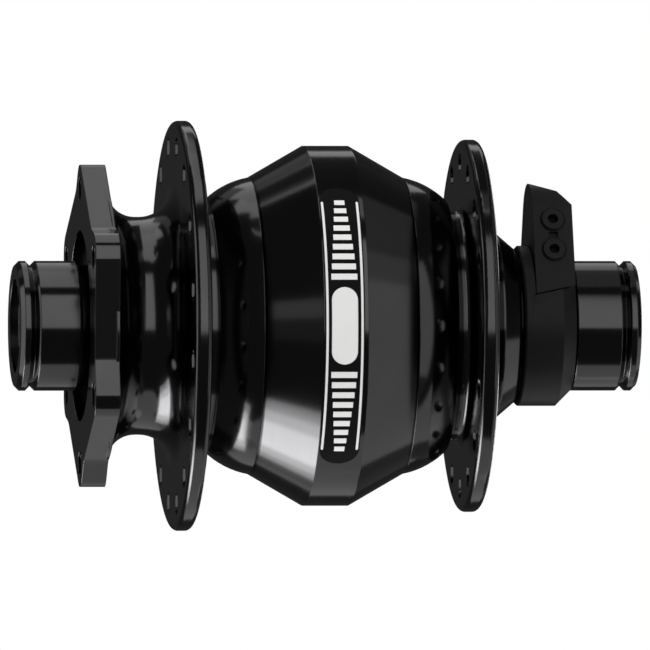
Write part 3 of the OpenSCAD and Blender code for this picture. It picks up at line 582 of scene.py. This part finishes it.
def recipe_for_threads():
    """A thread in each hole of a bolt circle round the Y axis."""
    sizes = ("Bolt circle", "Hole radius", "Pitch", "Turns", "Ridge", "Back")
    recipe = Recipe("tapped_holes", {"Holes": "Int", **dict.fromkeys(sizes, "Float")})
    node, given = recipe.node, recipe.given
    helix = node("GeometryNodeCurveSpiral", sockets={
        "Resolution": STEPS_A_TURN, "Rotations": given("Turns"),
        "Start Radius": given("Hole radius"), "End Radius": given("Hole radius"),
        "Height": given("Turns") * given("Pitch"),
    })
    profile = {"Resolution": RIDGE_SIDES, "Radius": given("Ridge")}
    ridge = node("GeometryNodeCurvePrimitiveCircle", sockets=profile)
    swept = {"Curve": helix, "Profile Curve": ridge, "Fill Caps": True}
    thread = node("GeometryNodeCurveToMesh", sockets=swept)
    circle = {"Vertices": given("Holes"), "Radius": given("Bolt circle") * 0.5}
    holes = node("GeometryNodeMeshCircle", sockets=circle)
    threads = node("GeometryNodeInstanceOnPoints", sockets={"Points": holes, "Instance": thread})
    turned = {"Geometry": threads, "Rotation": (0.0, 0.0, FIRST_HOLE)}
    back = node("ShaderNodeCombineXYZ", sockets={1: given("Back")})
    upright = {
        "Geometry": node("GeometryNodeTransform", sockets=turned),
        "Rotation": (Z_TO_Y, 0.0, 0.0), "Translation": back,
    }
    recipe.end(node("GeometryNodeTransform", sockets=upright))
    return recipe


tapped_holes = recipe_for_threads()

# %% [markdown]
# The record of the solids gives the bolt circle, the number of holes and their radius. The thread is a
# standard one for 5 mm bolts, and it starts just behind the mount's face.

# %% Cut the threads
THREAD_PITCH = 0.8 * MM
THREAD_TURNS = 4.5
THREAD_RIDGE = 0.2 * MM
THREAD_REACH = 3.8 * MM
RIDGE_INSET = 0.01 * MM

bolts = next(mount["dims"] for mount in frame["record"]["mounts"] if mount["name"] == "rotor_bolts")
mount_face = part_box("disc_side_shell")[1].y
disc_threads = new_piece("disc_threads")
tapped_holes.use_on(
    disc_threads, black_anodised,
    Holes=bolts["count"], Bolt_circle=bolts["pcd_mm"] * MM,
    Hole_radius=bolts["hole_r_mm"] * MM - RIDGE_INSET,
    Pitch=THREAD_PITCH, Turns=THREAD_TURNS, Ridge=THREAD_RIDGE, Back=mount_face - THREAD_REACH,
)
set_down(disc_threads)
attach(disc_threads, "shell")

# %% [markdown]
# A white background could be a lit wall, but that would throw more light on the hub. Here it is the
# world itself, at a strength of 1 for rays from the camera, for rays that bounce off metal and for rays
# that pass through glass. The other rays find it dimmer, so that lamps can shape the matte pieces.

# %% Make the world white
AMBIENT = 0.7
WHITE = (1.0, 1.0, 1.0, 1.0)

world = bpy.data.worlds.new("white_studio")
bpy.context.scene.world = world
world.use_nodes = True
studio = Tree(world.node_tree)
background = studio.nodes["Background"]
rays = ("Is Camera Ray", "Is Glossy Ray", "Is Transmission Ray")
seen = sum((studio.node("ShaderNodeLightPath", output=ray) for ray in rays), 0.0).math("MINIMUM", 1.0)
studio.plug(background.inputs["Strength"], seen * (1.0 - AMBIENT) + AMBIENT)
studio.plug(background.inputs["Color"], WHITE)
print("world at", AMBIENT, "for matte pieces")

# %% [markdown]
# A pale floor under the hub keeps its shadow when it is seen from above. It lies just below the
# picture's lower edge. A floor with a rim would draw a horizon in the other views, so it turns
# transparent towards its rim.

# %% Lay the pale floor
FLOOR_Z = -0.078
FLOOR_HALF = 1.6
FADE_FROM = 0.35

floor_mesh = bpy.data.meshes.new("floor")
corners = [(x * FLOOR_HALF, y * FLOOR_HALF, FLOOR_Z) for x, y in ((-1, -1), (1, -1), (1, 1), (-1, 1))]
floor_mesh.from_pydata(corners, [], [(0, 1, 2, 3)])
pale_floor = Finish("pale_floor", {"Base Color": (0.9, 0.9, 0.9, 1.0), "Roughness": 0.8})
floor_x, floor_y, _ = pale_floor.axes()
from_hub = (floor_x * floor_x + floor_y * floor_y).math("SQRT")
solid = Wire(pale_floor, pale_floor.shader.outputs[0])
clear = pale_floor.node("ShaderNodeBsdfTransparent")
fading = {0: from_hub.between(FADE_FROM, FLOOR_HALF), 1: solid, 2: clear}
faded = pale_floor.node("ShaderNodeMixShader", sockets=fading)
pale_floor.plug(pale_floor.nodes["Material Output"].inputs["Surface"], faded)
floor_mesh.materials.append(pale_floor.material)

floor = bpy.data.objects.new("floor", floor_mesh)
floor.visible_glossy = False
floor.visible_shadow = False
bpy.context.scene.collection.objects.link(floor)
print("floor at", FLOOR_Z, "m")

# %% [markdown]
# A black mirror shows what stands round it, so a photographer shapes it with cards: where a black card
# hangs the metal is black, a grey card makes it grey, and the gaps between them show the white room.
# Painting the shades on the hub would be wrong from any other side. Only reflected rays see the cards,
# so they cast no shadow.

# %% Cut the cards
def card_paper(tone):
    """The material of a card: it glows by itself, so that no lamp changes its tone."""
    name = f"card_{tone}"
    if name in bpy.data.materials:
        return bpy.data.materials[name]
    return Finish(name, {
        "Base Color": (0.0, 0.0, 0.0, 1.0), "Specular IOR Level": 0.0,
        "Emission Color": (tone, tone, tone, 1.0), "Emission Strength": 1.0,
    }).material


def hang_card(name, points, faces, tone):
    mesh = bpy.data.meshes.new(name)
    mesh.from_pydata(points, [], faces)
    mesh.materials.append(card_paper(tone))
    card = bpy.data.objects.new(name, mesh)
    card.visible_camera = False
    card.visible_diffuse = False
    card.visible_transmission = False
    card.visible_shadow = False
    bpy.context.scene.collection.objects.link(card)


# %% [markdown]
# Most cards are patches of a large ball, in columns round the hub. A column is given by its azimuths
# from the front, positive to the disc side. Its cards follow, each with its elevations and its tone.

# %% List the cards
SOOT = 0.032
BLACK = 0.045
DARK = 0.1
DIM = 0.2
GREY = 0.35
PALE = 0.58
LIGHT = 0.8
COLUMNS = {
    (-15, 8): [(-72, -4, BLACK), (56, 72, BLACK)],
    (8, 48): [(-72, 70, BLACK)],
    (48, 60): [(-72, -8, BLACK), (-8, 4, DARK), (4, 14, GREY), (14, 70, BLACK)],
    (60, 73): [(-72, 70, BLACK)],
    (48, 110): [(72, 80, BLACK)],
    (73, 128): [(35, 72, BLACK)],
    (110, 128): [(-25, 35, BLACK)],
    (-30, -15): [(-72, 72, BLACK)],
    (-48, -30): [(-72, -35, DARK), (-35, 45, PALE), (45, 72, BLACK)],
    (-60, -48): [(-72, 72, BLACK)],
    (-82, -60): [(-9, 20, PALE), (20, 32, GREY)],
    (-116, -82): [(-9, 32, SOOT)],
    (-118, -60): [(32, 44, DIM)],
    (-128, -60): [(-72, -9, PALE), (44, 72, BLACK)],
    (-128, -116): [(-9, 32, PALE)],
    (-128, -118): [(32, 44, BLACK)],
    (-155, -128): [(-60, -14, DARK), (14, 66, BLACK)],
    (-188, -155): [(30, 43, LIGHT)],
    (-205, -155): [(-72, -40, PALE), (43, 66, LIGHT)],
    (-232, -155): [(-40, 30, SOOT)],
    (-232, -188): [(30, 43, DIM)],
    (-232, -205): [(-72, -40, GREY), (43, 53, BLACK)],
    (-180, 180): [(-90, -72, PALE)],
}
print(sum(len(column) for column in COLUMNS.values()), "cards in", len(COLUMNS), "columns")

# %% [markdown]
# Flat cards would overlap or leave gaps at their edges, so each card follows the ball: its azimuths and
# its elevations are cut into steps of about five degrees, and four neighbouring points make a face.

# %% Hang the cards
CARD_RADIUS = 1.4
CARD_STEP = 5


def aim_from_front(azimuth, elevation):
    a, e = math.radians(azimuth), math.radians(elevation)
    return Vector((-math.cos(e) * math.cos(a), math.cos(e) * math.sin(a), math.sin(e)))


def steps(first, last):
    count = max(2, round((last - first) / CARD_STEP))
    return [first + (last - first) * i / count for i in range(count + 1)]


def patch_of_ball(first, last, low, high):
    """The points and faces of a card that covers these azimuths and elevations."""
    columns, rows = steps(first, last), steps(low, high)
    points = [aim_from_front(a, e) * CARD_RADIUS for a in columns for e in rows]
    faces = []
    for i in range(len(columns) - 1):
        for j in range(len(rows) - 1):
            corner = i * len(rows) + j
            faces.append((corner, corner + 1, corner + len(rows) + 1, corner + len(rows)))
    return points, faces


for (first, last), column in COLUMNS.items():
    for low, high, tone in column:
        hang_card(f"card_{first}_{low}", *patch_of_ball(first, last, low, high), tone)
print("cards hang", CARD_RADIUS, "m from the hub")

# %% [markdown]
# A far card looks the same from every piece of the hub. Two flags hang nearer, level and above the
# hub, because there they darken one side alone: the first the cable side, the second the drum.

# %% Hang two flags near the hub
# Reach in x, reach in y, height and tone
FLAGS = {
    "cable_side_flag": ((-0.09, 0.15), (-0.14, -0.04), 0.3, DIM),
    "drum_flag": ((-0.02, 0.135), (-0.05, 0.005), 0.15, BLACK),
}
for flag_name, ((x0, x1), (y0, y1), height, tone) in FLAGS.items():
    flag_corners = [(x0, y0, height), (x1, y0, height), (x1, y1, height), (x0, y1, height)]
    hang_card(flag_name, flag_corners, [(0, 1, 2, 3)], tone)
print("flags:", ", ".join(FLAGS))

# %% [markdown]
# Lamps do the rest. Three panels hang low at the back on the disc side, one in front of the other.
# One panel alone would draw an even streak under the shell. Where three overlap their light adds up,
# so the streak is brightest in its middle and fades to both ends. A strip at the back draws the rims,
# and a soft lamp from above, which the metal doesn't see, gives the matte plastic its shape. A lamp's
# power is worked out from the brightness that its face should have.

# %% Set the lamps
# Azimuth and elevation, distance, size, brightness, and whether the metal sees it
LAMPS = {
    "low_panel": ((104, -55), 0.9, (0.84, 0.45), 2.0, True),
    "low_panel_middle": ((106, -55), 0.89, (0.6, 0.42), 2.0, True),
    "low_panel_heart": ((107, -54), 0.88, (0.34, 0.38), 2.5, True),
    "rim_strip": ((-140, 0), 1.1, (0.45, 0.5), 2.2, True),
    "soft_top": ((0, 76), 1.2, (0.9, 0.9), 2.4, False),
}
for lamp_name, (direction, distance, size, brightness, in_mirror) in LAMPS.items():
    light = bpy.data.lights.new(lamp_name, "AREA")
    light.shape = "RECTANGLE"
    light.size, light.size_y = size
    light.energy = brightness * math.pi * size[0] * size[1]
    lamp = bpy.data.objects.new(lamp_name, light)
    lamp.location = aim_from_front(*direction) * distance
    lamp.rotation_euler = (-lamp.location).to_track_quat("-Z", "Y").to_euler()
    lamp.visible_camera = False
    lamp.visible_glossy = in_mirror
    bpy.context.scene.collection.objects.link(lamp)
    print(lamp_name, round(light.energy, 2), "W")
